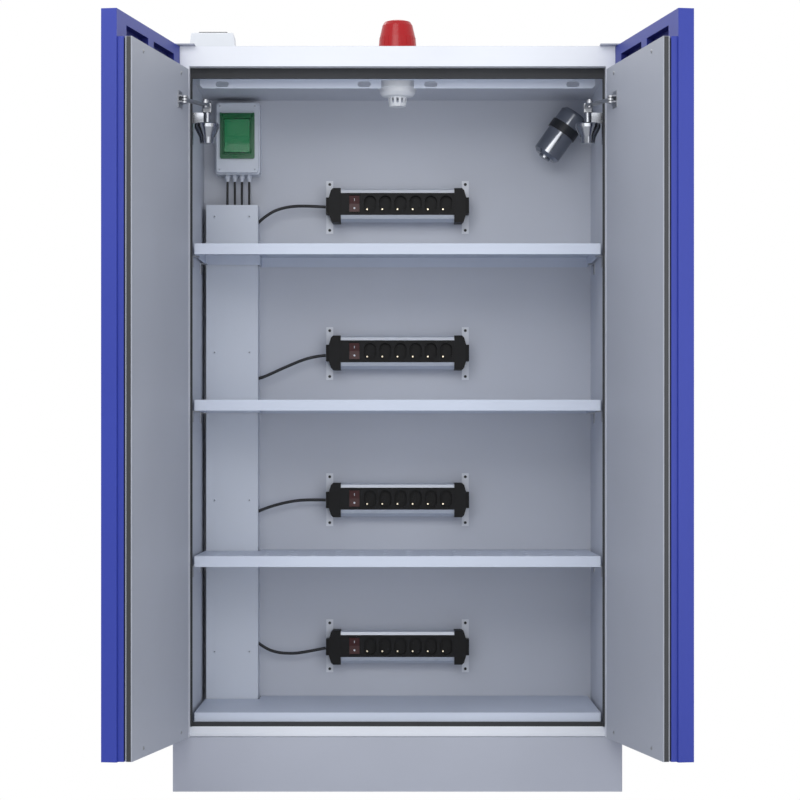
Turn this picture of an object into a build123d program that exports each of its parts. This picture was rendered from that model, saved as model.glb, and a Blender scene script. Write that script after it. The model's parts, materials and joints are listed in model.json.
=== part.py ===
"""Free-standing safety cabinet for charging battery packs, with both doors standing open.

Millimetres, +Z up. The origin is on the floor under the middle of the whole cabinet, the doors
open towards -Y. Depths are measured backwards from the front of the body, see at().
"""
import os
from math import atan2, cos, degrees, pi, radians, sin, tan

from build123d import *

os.makedirs("parts", exist_ok=True)

# ---- body ----
body_width = 1200.0
body_depth = 577.0
body_top = 1990.0
plinth_height = 145.0
plinth_sheet = 2.0
plinth_flange = 30.0
plinth_edge_radius = 4.0
sheet = 1.5
corner_radius = 4.0
opening_width = 1112.0
opening_top = 1936.0
sill_setback = 40.0
sill_top = 170.0
sill_ramp = 8.0
reveal_depth = 48.0
liner_depth = 535.0
ceiling = 1919.0
seal_front = 34.0
seal_side = 5.3
seal_bottom = 12.0
seal_top_drop = 27.0

# ---- doors ----
open_angle = 100.0
hinge_side = 590.0
hinge_setoff = 12.0
door_gap = 1.5
door_bottom_gap = 4.0
door_top_gap = 2.0
pan_front = 31.4
pan_back = 8.0
pan_overhang = 8.0
step_start = 37.0
step_end_inset = 7.0
step_rise = 15.7
step_bottom = 150.0
step_top = 1920.0
door_lip = 20.0
seal_inset = 5.0
seal_width = 14.0
door_seal_thickness = 4.3
panel_thickness = 16.0
panel_end_inset = 8.0
panel_edge_radius = 3.0
slot_starts = (51.0, 302.0)
slot_length = 200.0
slot_bottom = 1924.0
slot_height = 36.0
slot_depth = 20.0
board_clearance = 0.3
pivot_radius = 6.0
pivot_clearance = 0.05
pivot_engagement = 30.0
pivot_block = 16.0
hinge_plate = 3.0
hinge_plate_reach = 14.0
hinge_leg = 14.0
hinge_washer_radius = 11.0
washer_gap = 0.3

# ---- door handle and lock ----
dish_width = 78.0
dish_height = 200.0
dish_depth = 20.0
dish_wall = 1.5
dish_radius = 14.0
dish_rim = 6.0
dish_edge_distance = 90.0
dish_center_height = 1050.0
handle_width = 38.0
handle_length = 168.0
handle_thickness = 8.0
handle_pin_radius = 4.0
handle_hub = 8.0
lock_radius = 13.0
lock_rise = 3.0
lock_offset = 150.0

# ---- door closers ----
spindle_side = 514.0
spindle_depth = 75.0
spindle_radius = 6.0
crank_length = 117.0
link_length = 114.0
arm_width = 20.0
arm_thickness = 6.0
arm_step = 7.5
link_level = 1827.0
bracket_along = 126.0
bracket_standoff = 12.0
bracket_plate = 4.0
bracket_gap = 11.0
bracket_foot = 41.0
eye_pin_radius = 4.0
hub_radius = 12.5
hub_bottom = 1822.0
hub_height = 24.0
stem_radius = 9.5
bell_radius = 34.0
bell_bottom = 1739.0
bell_height = 54.0
running_gap = 0.3

# ---- shelves ----
shelf_width = 1092.0
shelf_front = 50.0
shelf_back = 533.0
shelf_lip = 29.0
shelf_sheet = 1.5
lowest_shelf = 626.5
shelf_pitch = 420.5
shelf_count = 3
tray_top = 206.0
hole_radius = 11.0
hole_pitch = 65.0
hole_columns = 16
hole_rows = 3
first_hole_row = 110.0
hole_row_pitch = 140.0
support_length = 34.0
support_ledge = 18.0
support_height = 30.0
support_sheet = 2.0
support_depths = (120.0, 400.0)

# ---- cable duct, isolator box and supply cables ----
duct_left = -545.0
duct_width = 148.0
duct_front = 440.0
duct_top = 1609.0
duct_return = 12.0
duct_notch_gap = 5.0
box_left = -519.0
box_width = 126.0
box_bottom = 1699.0
box_height = 206.0
box_front = 455.0
lid_inset = 4.0
lid_depth = 18.0
lid_radius = 8.0
frame_margin = 10.0
frame_width = 98.0
frame_bottom = 1742.0
frame_height = 129.0
frame_depth = 8.0
rocker_width = 71.0
rocker_height = 93.0
rocker_depth = 12.0
rocker_gap = 0.5
rocker_pin_radius = 1.6
rocker_pin_length = 3.0
rocker_travel = 6.0
rocker_crease = 4.0
flap_width = 84.0
flap_depth = 17.0
flap_wall = 2.0
flap_drop = 118.0
flap_tab_width = 26.0
flap_tab_drop = 11.0
flap_pin_radius = 2.0
flap_ear = 5.0
flap_knuckle = 4.2
gland_radius = 8.0
gland_height = 18.0
gland_pitch = 20.6
gland_depth = 500.0
gland_count = 4
cable_diameter = 6.5
cable_bow = 0.8
cable_middle = 42.0
cable_tail = 14.0
cable_start_gap = 0.4

# ---- power strips ----
strip_count = 4
strip_above_shelf = 143.5
strip_half_length = 162.0
strip_front = 470.0
strip_half_height = 47.0
face_height = 62.5
face_rise = 4.0
face_depth = 20.0
face_proud = 2.0
face_clearance = 0.2
cap_length = 34.0
cap_half_height = 49.0
cap_proud = 4.0
tab_length = 8.5
tab_half_height = 23.0
bracket_width = 20.0
bracket_half_height = 76.0
bracket_sheet = 3.0
bracket_center = 195.0
bracket_hole_radius = 3.0
bracket_hole_height = 66.0
well_count = 6
well_pitch = 43.3
first_well = -78.2
well_width = 35.0
well_height = 50.0
well_rise = 3.0
well_depth = 15.0
earth_pin_radius = 2.4
earth_pin_height = 11.0
earth_pin_offset = (-8.5, -14.0)
strip_switch_center = -123.0
strip_switch_rise = 4.4
strip_switch_width = 29.0
strip_switch_height = 46.0
strip_switch_depth = 9.0
strip_switch_gap = 0.4
strip_switch_pin_radius = 1.5
strip_switch_pin_length = 2.0
lead_diameter = 8.5
lead_start_gap = 0.9
lead_depth = 490.0
lead_hole_radius = 8.0

# ---- roof, ceiling and extinguisher ----
beacon_depth = 200.0
beacon_radius = 52.0
beacon_base_height = 15.0
beacon_dome_height = 86.0
beacon_wall = 2.5
alarm_center = -506.0
alarm_width = 128.0
alarm_length = 100.0
alarm_height = 62.0
alarm_front = 150.0
alarm_taper = 6.0
rail_depth = 90.0
rail_half_width = 534.5
rail_height = 29.0
rail_leg = 25.0
rail_chamfer = 8.0
rail_notch_half = 44.0
rail_notch_height = 22.0
rail_slot_length = 35.0
rail_slot_width = 15.0
rail_slot_height = 11.0
rail_slots = (-474.0, -90.0, 90.0, 474.0)
detector_depth = 150.0
detector_radius = 53.5
detector_height = 46.0
cage_radius = 26.5
cage_tip_radius = 23.0
cage_height = 25.0
cage_wall = 2.5
cage_slots = 12
cage_slot_width = 6.0
can_radius = 39.75
can_length = 150.0
can_tilt = 55.0
can_foot = (418.8, 1746.6)
can_depth = 440.0
can_shoulder = 9.0
clamp_wall = 3.0
clamp_width = 26.0
clamp_place = 92.0
clamp_gap = 0.1
clamp_arm_width = 20.0
clamp_arm_height = 24.0
clamp_foot_height = 70.0
clamp_foot_width = 40.0

# ---- worked-out places ----
lean = radians(open_angle - 90.0)
door_end = hinge_side - door_gap
door_reach = hinge_setoff + door_end * cos(lean) + pan_back * sin(lean)
front_y = (door_reach - body_depth) / 2
opening_half = opening_width / 2
body_half = body_width / 2
door_bottom = plinth_height + door_bottom_gap
door_top = body_top - door_top_gap
step_end = door_end - step_end_inset
step_face = pan_back + step_rise
panel_back = step_face + door_seal_thickness
panel_face = panel_back + panel_thickness
panel_end = door_end - panel_end_inset
shelf_tops = [lowest_shelf + i * shelf_pitch for i in range(shelf_count)]
strip_levels = [lowest_shelf + (i - 1) * shelf_pitch + strip_above_shelf for i in range(strip_count)]
strip_back = liner_depth - bracket_sheet
duct_right = duct_left + duct_width
box_center = box_left + box_width / 2
rocker_level = frame_bottom + frame_height / 2
switch_face = box_front - frame_depth


def at(depth):
    """Y of a point this deep behind the front of the body."""
    return front_y + depth


def span_box(x_span, y_span, z_span, mode=Mode.ADD):
    """Box between two values on each axis, added to or cut from the part being built."""
    sizes = [high - low for low, high in (x_span, y_span, z_span)]
    centre = [(low + high) / 2 for low, high in (x_span, y_span, z_span)]
    with Locations(tuple(centre)):
        Box(*sizes, mode=mode)


def deep(near, far):
    """The two Y values of a stretch between two depths."""
    return (at(near), at(far))


def across(half):
    """A span that lies evenly on both sides of the middle."""
    return (-half, half)


def upright(depth):
    """Upright plane that faces the front, at this depth: local x is X and local y is Z."""
    return Plane(origin=(0, at(depth), 0), x_dir=(1, 0, 0), z_dir=(0, -1, 0))


def mirrored(piece):
    """The same piece made for the right-hand side."""
    with BuildPart() as other:
        mirror(piece.part, about=Plane.YZ)
    return other


def corner_radii(points):
    """Largest arc that each corner of a route allows."""
    radii = []
    for before, corner, after in zip(points, points[1:], points[2:]):
        first = Vector(*corner) - Vector(*before)
        second = Vector(*after) - Vector(*corner)
        half_turn = radians(first.get_angle(second)) / 2
        radii.append(0.45 * min(first.length, second.length) / tan(half_turn))
    return radii


def cable(points, diameter):
    """Round cable along straight runs joined by tangent arcs."""
    radii = corner_radii(points)
    with BuildPart() as tube:
        with BuildLine() as route:
            FilletPolyline(*points, radius=radii)
        centre_line = route.wires()[0]
        with BuildSketch(Plane(origin=centre_line @ 0, z_dir=centre_line % 0)):
            Circle(diameter / 2)
        sweep(path=centre_line)
    expected = pi * diameter**2 / 4 * centre_line.length
    print(f"cable: length {centre_line.length:.1f}, radii {[round(r) for r in radii]},"
          f" volume / section x length {tube.part.volume / expected:.4f}")
    return tube


# ============================================================ body
with BuildPart() as outer_casing:
    span_box(across(body_half), deep(0, body_depth), (plinth_height, body_top))
    fillet(outer_casing.edges().filter_by(Axis.Z).group_by(Axis.Y)[-1], corner_radius)
    offset(amount=-sheet, openings=outer_casing.faces().sort_by(Axis.Y)[0])
    span_box(
        across(opening_half), deep(-1, sill_setback + sheet), (plinth_height - 1, sill_top), mode=Mode.SUBTRACT
    )
outer_casing.part.label = "outer_casing"
export_step(outer_casing.part, "parts/outer_casing.step")

board_inner = opening_half + sheet
board_outer = body_half - sheet
with BuildPart() as insulation_boards:
    for side in (-1, 1):
        x_span = sorted((side * board_inner, side * board_outer))
        span_box(x_span, deep(sheet, body_depth - sheet), (plinth_height + sheet, body_top - sheet))
    between = across(board_inner - board_clearance)
    top_span = (ceiling + sheet, body_top - sheet)
    span_box(between, deep(reveal_depth, body_depth - sheet), top_span)
    span_box(between, deep(sheet, reveal_depth - board_clearance), (opening_top + sheet, body_top - sheet))
    span_box(
        across(opening_half - board_clearance),
        deep(sill_setback + sheet, body_depth - sheet),
        (plinth_height + sheet, sill_top - sheet),
    )
    span_box(
        between,
        deep(liner_depth + sheet, body_depth - sheet),
        (sill_top - sheet + board_clearance, ceiling + sheet - board_clearance),
    )
    for end in (0, -1):
        outer_board = insulation_boards.solids().sort_by(Axis.X)[end]
        outer_edges = outer_board.edges().filter_by(Axis.Z).group_by(Axis.Y)[-1].sort_by(Axis.X)
        fillet(outer_edges[end], corner_radius)
insulation_boards.part.label = "insulation_boards"
export_step(insulation_boards.part, "parts/insulation_boards.step")

with BuildPart() as inner_liner:
    span_box(
        across(opening_half + sheet),
        deep(reveal_depth, liner_depth + sheet),
        (sill_top - sheet, ceiling + sheet),
    )
    span_box(
        across(opening_half), deep(reveal_depth - 1, liner_depth), (sill_top, ceiling), mode=Mode.SUBTRACT
    )
inner_liner.part.label = "inner_liner"
export_step(inner_liner.part, "parts/inner_liner.step")

with BuildPart() as front_frame:
    with BuildSketch(upright(0)):
        with BuildLine():
            Polyline(
                (-board_outer, plinth_height + sheet),
                (-board_outer, body_top - sheet),
                (board_outer, body_top - sheet),
                (board_outer, plinth_height + sheet),
                (opening_half, plinth_height + sheet),
                (opening_half, opening_top),
                (-opening_half, opening_top),
                (-opening_half, plinth_height + sheet),
                close=True,
            )
        make_face()
    extrude(amount=-sheet)
    for side in (-1, 1):
        x_span = sorted((side * opening_half, side * board_inner))
        span_box(x_span, deep(0, reveal_depth), (plinth_height + sheet, opening_top + sheet))
    span_box(across(board_inner), deep(0, reveal_depth), (opening_top, opening_top + sheet))
    with BuildSketch(Plane(origin=(0, 0, 0), x_dir=(0, 1, 0), z_dir=(1, 0, 0))):
        with BuildLine():
            Polyline(
                (at(sill_setback - sill_ramp), plinth_height),
                (at(sill_setback), plinth_height + sill_ramp),
                (at(sill_setback), sill_top),
                (at(reveal_depth), sill_top),
                (at(reveal_depth), sill_top - sheet),
                (at(sill_setback + sheet), sill_top - sheet),
                (at(sill_setback + sheet), plinth_height),
                close=True,
            )
        make_face()
    extrude(amount=opening_half, both=True)
front_frame.part.label = "front_frame"
export_step(front_frame.part, "parts/front_frame.step")

with BuildPart() as frame_seal:
    with BuildSketch(upright(seal_front)):
        with BuildLine():
            Polyline(
                (-opening_half, sill_top),
                (-opening_half, opening_top),
                (opening_half, opening_top),
                (opening_half, sill_top),
                (opening_half - seal_side, sill_top),
                (opening_half - seal_side, opening_top - seal_top_drop),
                (-opening_half + seal_side, opening_top - seal_top_drop),
                (-opening_half + seal_side, sill_top),
                close=True,
            )
        make_face()
    extrude(amount=seal_front - reveal_depth)
    span_box(across(opening_half), deep(sill_setback, reveal_depth), (sill_top, sill_top + seal_bottom))
frame_seal.part.label = "frame_seal"
export_step(frame_seal.part, "parts/frame_seal.step")

with BuildPart() as plinth:
    span_box(across(body_half), deep(0, body_depth), (0, plinth_height))
    fillet(plinth.edges().filter_by(Axis.Z), plinth_edge_radius)
    span_box(
        across(body_half - plinth_sheet),
        deep(plinth_sheet, body_depth - plinth_sheet),
        (plinth_sheet, plinth_height - plinth_sheet),
        mode=Mode.SUBTRACT,
    )
    span_box(
        across(body_half - plinth_flange),
        deep(plinth_flange, body_depth - plinth_flange),
        (-1, plinth_height / 2),
        mode=Mode.SUBTRACT,
    )
    span_box(
        across(body_half - plinth_flange),
        deep(reveal_depth, body_depth - plinth_flange),
        (plinth_height / 2, plinth_height + 1),
        mode=Mode.SUBTRACT,
    )
plinth.part.label = "plinth"
export_step(plinth.part, "parts/plinth.step")

# Top plates on the roof and bottom angles on the plinth, each with the pin that a door turns on.
with BuildPart() as hinge_brackets:
    for side in (-1, 1):
        pivot = (side * hinge_side, at(-hinge_setoff))
        plate_span = sorted((side * (hinge_side - 50), side * (hinge_side + hinge_plate_reach)))
        y_span = (pivot[1] - hinge_plate_reach, at(reveal_depth))
        span_box(plate_span, y_span, (body_top, body_top + hinge_plate))
        with Locations((*pivot, body_top)):
            Cylinder(
                pivot_radius, pivot_engagement, align=(Align.CENTER, Align.CENTER, Align.MAX)
            )
        angle_span = sorted((side * (hinge_side - 24), side * (hinge_side + 10)))
        angle_top = plinth_height
        span_box(
            angle_span, (pivot[1] - hinge_plate_reach, at(0)), (angle_top - hinge_plate, angle_top)
        )
        span_box(angle_span, deep(-hinge_plate, 0), (angle_top - hinge_leg, angle_top))
        with Locations((*pivot, angle_top)):
            Cylinder(
                pivot_radius,
                door_bottom_gap + pivot_engagement,
                align=(Align.CENTER, Align.CENTER, Align.MIN),
            )
            Cylinder(
                hinge_washer_radius,
                door_bottom_gap - washer_gap,
                align=(Align.CENTER, Align.CENTER, Align.MIN),
            )
hinge_brackets.part.label = "hinge_brackets"
export_step(hinge_brackets.part, "parts/hinge_brackets.step")

# ============================================================ roof
with BuildPart() as beacon_base:
    with BuildSketch(Plane.XY.offset(body_top)):
        with Locations((0, at(beacon_depth))):
            Circle(beacon_radius + 2)
    extrude(amount=beacon_base_height)
    chamfer(beacon_base.edges().group_by(Axis.Z)[-1], 2)
beacon_base.part.label = "beacon_base"
export_step(beacon_base.part, "parts/beacon_base.step")

dome_foot = body_top + beacon_base_height
with BuildPart() as beacon_dome:
    with BuildSketch(Plane(origin=(0, at(beacon_depth), dome_foot), x_dir=(1, 0, 0), z_dir=(0, -1, 0))):
        with BuildLine():
            Polyline((0, beacon_dome_height), (0, beacon_dome_height - beacon_wall))
            Line((0, beacon_dome_height - beacon_wall), (beacon_radius * 0.55, beacon_dome_height - 9))
            Line((beacon_radius * 0.55, beacon_dome_height - 9), (beacon_radius * 0.86, 40))
            Line((beacon_radius * 0.86, 40), (beacon_radius - beacon_wall, 0))
            Line((beacon_radius - beacon_wall, 0), (beacon_radius, 0))
            Line((beacon_radius, 0), (beacon_radius * 0.94, 40))
            Line((beacon_radius * 0.94, 40), (beacon_radius * 0.8, beacon_dome_height - 14))
            Line((beacon_radius * 0.8, beacon_dome_height - 14), (beacon_radius * 0.68, beacon_dome_height - 4))
            Line((beacon_radius * 0.68, beacon_dome_height - 4), (beacon_radius * 0.42, beacon_dome_height))
            Line((beacon_radius * 0.42, beacon_dome_height), (0, beacon_dome_height))
        make_face()
    revolve(axis=Axis((0, at(beacon_depth), 0), (0, 0, 1)))
beacon_dome.part.label = "beacon_dome"
export_step(beacon_dome.part, "parts/beacon_dome.step")

with BuildPart() as alarm_box:
    with BuildSketch(Plane.XY.offset(body_top)):
        with Locations((alarm_center, at(alarm_front + alarm_length / 2))):
            Rectangle(alarm_width, alarm_length)
    extrude(amount=alarm_height, taper=alarm_taper)
    chamfer(alarm_box.edges().group_by(Axis.Z)[-1], 3)
alarm_box.part.label = "alarm_box"
export_step(alarm_box.part, "parts/alarm_box.step")

# ============================================================ ceiling
with BuildPart() as ceiling_rail:
    with BuildSketch(upright(rail_depth)):
        with Locations((0, ceiling - rail_height / 2)):
            Rectangle(2 * rail_half_width, rail_height)
    extrude(amount=-sheet)
    chamfer(ceiling_rail.edges().filter_by(Axis.Y).group_by(Axis.Z)[0], rail_chamfer)
    with BuildSketch(upright(rail_depth)):
        with Locations((0, ceiling - rail_height + rail_notch_height / 2)):
            Rectangle(2 * rail_notch_half, rail_notch_height)
        with Locations(*[(x, ceiling - rail_height + rail_slot_height) for x in rail_slots]):
            SlotOverall(rail_slot_length, rail_slot_width)
    extrude(amount=-sheet, mode=Mode.SUBTRACT)
    span_box(across(rail_half_width), deep(rail_depth - rail_leg, rail_depth), (ceiling - sheet, ceiling))
ceiling_rail.part.label = "ceiling_rail"
export_step(ceiling_rail.part, "parts/ceiling_rail.step")

detector_axis = Axis((0, at(detector_depth), 0), (0, 0, 1))
detector_plane = Plane(origin=(0, at(detector_depth), ceiling), x_dir=(1, 0, 0), z_dir=(0, -1, 0))
with BuildPart() as detector_body:
    with BuildSketch(detector_plane):
        with BuildLine():
            Polyline(
                (0, 0),
                (detector_radius, 0),
                (detector_radius, -detector_height * 0.45),
                (detector_radius * 0.93, -detector_height * 0.55),
                (detector_radius * 0.9, -detector_height * 0.75),
                (detector_radius * 0.78, -detector_height * 0.93),
                (cage_radius, -detector_height),
            )
            Polyline((cage_radius, -detector_height), (0, -detector_height), (0, 0))
        make_face()
    revolve(axis=detector_axis)
detector_body.part.label = "detector_body"
export_step(detector_body.part, "parts/detector_body.step")

with BuildPart() as detector_cage:
    with BuildSketch(detector_plane):
        with BuildLine():
            Polyline(
                (0, -detector_height - cage_height + cage_wall),
                (cage_tip_radius - cage_wall, -detector_height - cage_height + cage_wall),
                (cage_radius - cage_wall, -detector_height),
                (cage_radius, -detector_height),
                (cage_tip_radius, -detector_height - cage_height),
                (0, -detector_height - cage_height),
                close=True,
            )
        make_face()
    revolve(axis=detector_axis)
    with BuildSketch(Plane.XY.offset(ceiling - detector_height - cage_wall)):
        with Locations((0, at(detector_depth))):
            with PolarLocations(cage_radius, cage_slots):
                Rectangle(4 * cage_wall, cage_slot_width)
    extrude(amount=-(cage_height - 2 * cage_wall), mode=Mode.SUBTRACT)
detector_cage.part.label = "detector_cage"
export_step(detector_cage.part, "parts/detector_cage.step")

# ============================================================ shelves
notch_right = duct_right + duct_notch_gap
notch_front = duct_front - duct_notch_gap


def shelf(top, lip):
    """Folded shelf with a perforated deck, a lip all round and a notch for the cable duct."""
    with BuildPart() as piece:
        with BuildSketch(Plane.XY.offset(top - lip)):
            with BuildLine():
                Polyline(
                    (-shelf_width / 2, at(shelf_front)),
                    (shelf_width / 2, at(shelf_front)),
                    (shelf_width / 2, at(shelf_back)),
                    (notch_right, at(shelf_back)),
                    (notch_right, at(notch_front)),
                    (-shelf_width / 2, at(notch_front)),
                    close=True,
                )
            make_face()
        extrude(amount=lip)
        offset(amount=-shelf_sheet, openings=piece.faces().sort_by(Axis.Z)[0])
        rows_middle = first_hole_row + hole_row_pitch * (hole_rows - 1) / 2
        with BuildSketch(Plane.XY.offset(top)):
            with Locations((0, at(rows_middle))):
                with GridLocations(hole_pitch, hole_row_pitch, hole_columns, hole_rows):
                    RegularPolygon(hole_radius, 8)
        extrude(amount=-shelf_sheet, mode=Mode.SUBTRACT)
    return piece


for number, top in enumerate(shelf_tops, start=1):
    shelf_piece = shelf(top, shelf_lip)
    shelf_piece.part.label = f"shelf_{number}"
    export_step(shelf_piece.part, f"parts/shelf_{number}.step")

with BuildPart() as bottom_tray:
    with BuildSketch(Plane.XY.offset(sill_top)):
        with BuildLine():
            Polyline(
                (-shelf_width / 2, at(shelf_front)),
                (shelf_width / 2, at(shelf_front)),
                (shelf_width / 2, at(shelf_back)),
                (notch_right, at(shelf_back)),
                (notch_right, at(notch_front)),
                (-shelf_width / 2, at(notch_front)),
                close=True,
            )
        make_face()
    extrude(amount=tray_top - sill_top)
    offset(amount=-shelf_sheet, openings=bottom_tray.faces().sort_by(Axis.Z)[0])
bottom_tray.part.label = "bottom_tray"
export_step(bottom_tray.part, "parts/bottom_tray.step")

with BuildPart() as shelf_supports:
    for top in shelf_tops:
        for side in (-1, 1):
            for depth in support_depths:
                wall = side * opening_half
                ledge_top = top - shelf_lip
                y_span = deep(depth - support_length / 2, depth + support_length / 2)
                leg_span = sorted((wall, wall - side * support_sheet))
                ledge_span = sorted((wall, wall - side * support_ledge))
                span_box(leg_span, y_span, (ledge_top - support_height, ledge_top))
                span_box(ledge_span, y_span, (ledge_top - support_sheet, ledge_top))
shelf_supports.part.label = "shelf_supports"
export_step(shelf_supports.part, "parts/shelf_supports.step")

# ============================================================ cable duct
with BuildPart() as duct_channel:
    span_box((duct_left + sheet, duct_right), deep(duct_front + sheet, liner_depth), (sill_top, duct_top))
    span_box(
        (duct_left + 2 * sheet, duct_right - sheet),
        deep(duct_front, liner_depth - sheet),
        (sill_top - 1, duct_top + 1),
        mode=Mode.SUBTRACT,
    )
    lead_entries = [strip_levels[3] - 47, strip_levels[2] - 74, strip_levels[1] - 32, strip_levels[0] + 10]
    with Locations(*[Location((duct_right, at(lead_depth), z), (0, 90, 0)) for z in lead_entries]):
        Cylinder(lead_hole_radius, 4 * sheet, mode=Mode.SUBTRACT)
duct_channel.part.label = "duct_channel"
export_step(duct_channel.part, "parts/duct_channel.step")

with BuildPart() as duct_cover:
    span_box((duct_left + sheet, duct_right), deep(duct_front, duct_front + sheet), (sill_top, duct_top))
    for x in (duct_left + 2 * sheet + 0.3, duct_right - 2 * sheet - 0.3):
        span_box(
            (x, x + sheet), deep(duct_front + sheet, duct_front + sheet + duct_return), (sill_top, duct_top)
        )
duct_cover.part.label = "duct_cover"
export_step(duct_cover.part, "parts/duct_cover.step")

# ============================================================ isolator box
with BuildPart() as box_base:
    span_box(
        (box_left, box_left + box_width),
        deep(box_front + lid_depth, liner_depth),
        (box_bottom, box_bottom + box_height),
    )
    fillet(box_base.edges().filter_by(Axis.Y), lid_radius)
box_base.part.label = "box_base"
export_step(box_base.part, "parts/box_base.step")

pocket_half = rocker_height / 2 + 3
with BuildPart() as box_lid:
    with BuildSketch(upright(box_front)):
        with Locations((box_center, box_bottom + box_height / 2)):
            RectangleRounded(box_width - 2 * lid_inset, box_height - 2 * lid_inset, lid_radius)
    extrude(amount=-lid_depth)
    with BuildSketch(upright(box_front)):
        with Locations((box_center, rocker_level)):
            Rectangle(rocker_width + 2 * rocker_gap, 2 * pocket_half)
    extrude(amount=-lid_depth * 0.7, mode=Mode.SUBTRACT)
box_lid.part.label = "box_lid"
export_step(box_lid.part, "parts/box_lid.step")

hinge_level = frame_bottom + frame_height - flap_ear
flap_axis_depth = switch_face - flap_ear
with BuildPart() as switch_frame:
    with BuildSketch(upright(box_front)):
        with Locations((box_center, rocker_level)):
            RectangleRounded(frame_width, frame_height, 5)
            Rectangle(rocker_width + 2 * rocker_gap, rocker_height + 6, mode=Mode.SUBTRACT)
    extrude(amount=frame_depth)
    for side in (-1, 1):
        ear_span = sorted((box_center + side * frame_width / 2, box_center + side * (frame_width / 2 - flap_ear)))
        span_box(
            ear_span,
            deep(flap_axis_depth - flap_ear, switch_face),
            (hinge_level - flap_ear, hinge_level + flap_ear),
        )
    with Locations(Location((box_center, at(switch_face + frame_depth / 2), rocker_level), (0, 90, 0))):
        Cylinder(
            rocker_pin_radius + pivot_clearance,
            rocker_width + 2 * rocker_pin_length + 2,
            mode=Mode.SUBTRACT,
        )
    with Locations(Location((box_center, at(flap_axis_depth), hinge_level), (0, 90, 0))):
        Cylinder(flap_pin_radius + pivot_clearance, frame_width, mode=Mode.SUBTRACT)
switch_frame.part.label = "switch_frame"
export_step(switch_frame.part, "parts/switch_frame.step")


def rocker(plane, width, height, depth, crease, pin_radius, pin_length, pin_depth):
    """Rocker key: a wedge-faced bar on two trunnions. The plane's local x runs along the trunnions."""
    with BuildPart() as key:
        profile = Plane(origin=plane.origin, x_dir=plane.z_dir, z_dir=plane.x_dir)
        with BuildSketch(profile):
            with BuildLine():
                Polyline(
                    (-pin_depth, -height / 2),
                    (depth - pin_depth, -height / 2),
                    (depth - pin_depth - crease, 0),
                    (depth - pin_depth, height / 2),
                    (-pin_depth, height / 2),
                    close=True,
                )
            make_face()
        extrude(amount=width / 2, both=True)
        with Locations(Location(plane.origin, (0, 90, 0))):
            Cylinder(pin_radius, width + 2 * pin_length)
    return key


pin_depth = frame_depth / 2
switch_pivot = Plane(
    origin=(box_center, at(switch_face + pin_depth), rocker_level), x_dir=(1, 0, 0), z_dir=(0, -1, 0)
)
switch_rocker = rocker(
    switch_pivot, rocker_width, rocker_height, rocker_depth, rocker_crease,
    rocker_pin_radius, rocker_pin_length, pin_depth,
)
switch_rocker.part.label = "switch_rocker"
export_step(switch_rocker.part, "parts/switch_rocker.step")

flap_front = switch_face - flap_depth
with BuildPart() as switch_flap:
    flap_top = hinge_level + flap_knuckle
    span_box(
        (box_center - flap_width / 2, box_center + flap_width / 2),
        deep(flap_front, switch_face - running_gap),
        (flap_top - flap_drop, flap_top),
    )
    fillet(switch_flap.edges().filter_by(Axis.Z).group_by(Axis.Y)[0], 4)
    fillet(switch_flap.edges().filter_by(Axis.X).group_by(Axis.Z)[-1].sort_by(Axis.Y)[-1], flap_knuckle)
    span_box(
        (box_center - flap_width / 2 + flap_wall, box_center + flap_width / 2 - flap_wall),
        deep(flap_front + flap_wall, switch_face + 1),
        (flap_top - flap_drop + flap_wall, flap_top - flap_wall),
        mode=Mode.SUBTRACT,
    )
    span_box(
        (box_center - flap_tab_width / 2, box_center + flap_tab_width / 2),
        deep(flap_front, flap_front + flap_wall),
        (flap_top - flap_drop - flap_tab_drop, flap_top - flap_drop),
    )
    for side in (-1, 1):
        stub = Location((box_center + side * flap_width / 2, at(flap_axis_depth), hinge_level), (0, 90, 0))
        with Locations(stub):
            Cylinder(flap_pin_radius, 2 * (frame_width - flap_width) / 2 - 2 * flap_wall)
switch_flap.part.label = "switch_flap"
export_step(switch_flap.part, "parts/switch_flap.step")

gland_places = [box_center + (i - (gland_count - 1) / 2) * gland_pitch for i in range(gland_count)]
with BuildPart() as box_glands:
    with BuildSketch(Plane.XY.offset(box_bottom)):
        with Locations(*[(x, at(gland_depth)) for x in gland_places]):
            RegularPolygon(gland_radius, 6)
    extrude(amount=-gland_height * 0.45)
    with BuildSketch(Plane.XY.offset(box_bottom - gland_height * 0.45)):
        with Locations(*[(x, at(gland_depth)) for x in gland_places]):
            RegularPolygon(gland_radius * 0.84, 12)
    extrude(amount=-gland_height * 0.55, taper=12)
box_glands.part.label = "box_glands"
export_step(box_glands.part, "parts/box_glands.step")

cable_top = box_bottom - gland_height
with BuildPart() as supply_cables:
    for number, x in enumerate(gland_places):
        bow = cable_bow if number % 2 else -cable_bow
        y = at(gland_depth)
        route = [
            (x, y, cable_top - cable_start_gap),
            (x + bow, y - cable_bow, cable_top - cable_middle),
            (x, y, duct_top - cable_tail),
        ]
        add(cable(route, cable_diameter).part)
supply_cables.part.label = "supply_cables"
export_step(supply_cables.part, "parts/supply_cables.step")

# ============================================================ power strips
side_plane = Plane(origin=(0, 0, 0), x_dir=(0, 1, 0), z_dir=(1, 0, 0))
face_low = face_rise - face_height / 2
face_high = face_rise + face_height / 2
face_back = strip_front - face_proud + face_depth

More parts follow.
